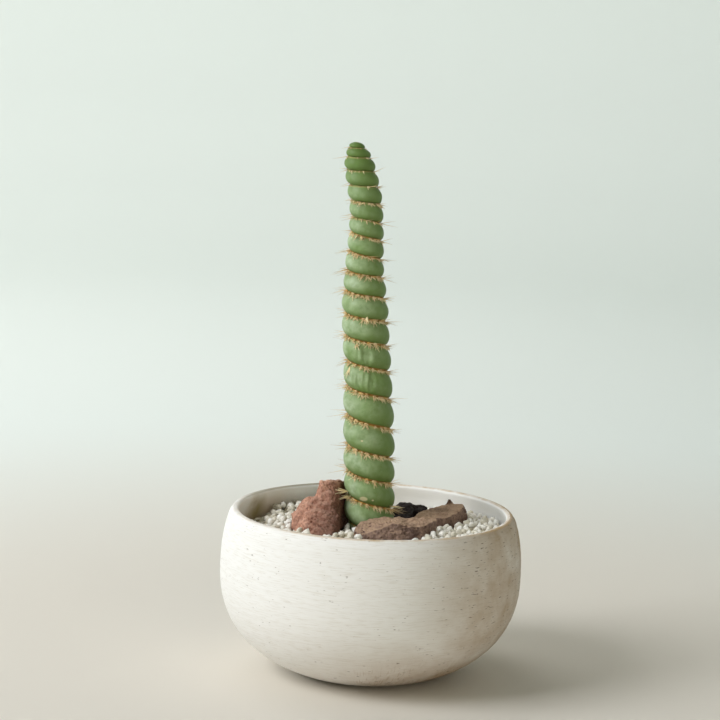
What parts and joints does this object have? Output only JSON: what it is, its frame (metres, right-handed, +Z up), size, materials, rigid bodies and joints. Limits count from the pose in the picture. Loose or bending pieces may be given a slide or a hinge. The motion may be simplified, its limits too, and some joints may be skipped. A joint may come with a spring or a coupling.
{
  "type": "potted spiral cactus",
  "caption": "Tall cactus whose one rib coils round the stem, with felted areoles and golden spines, in a wide rounded white bowl topped with white pumice and pieces of lava rock.",
  "frame": {"origin": "centre of the bowl's flat underside, on the surface it stands on", "axes": "+Z up along the bowl's axis, -Y towards the viewer of the picture, +X to the right of it"},
  "size_m": [0.22, 0.22, 0.3891],
  "materials": {
    "bowl": "matte",
    "soil": "matte",
    "pumice": "matte",
    "stem": "satin",
    "felt_and_spines": "matte",
    "lava_red": "matte",
    "lava_brown": "matte",
    "lava_dark": "matte"
  },
  "bodies": {
    "root": {"bowl": "bowl", "soil": "soil", "pumice_dressing": "pumice", "stem": "stem", "areoles_and_spines": "felt_and_spines", "lava_rock_red": "lava_red", "lava_rock_front": "lava_brown", "lava_rock_right": "lava_brown", "lava_rock_dark": "lava_dark"}
  },
  "joints": []
}
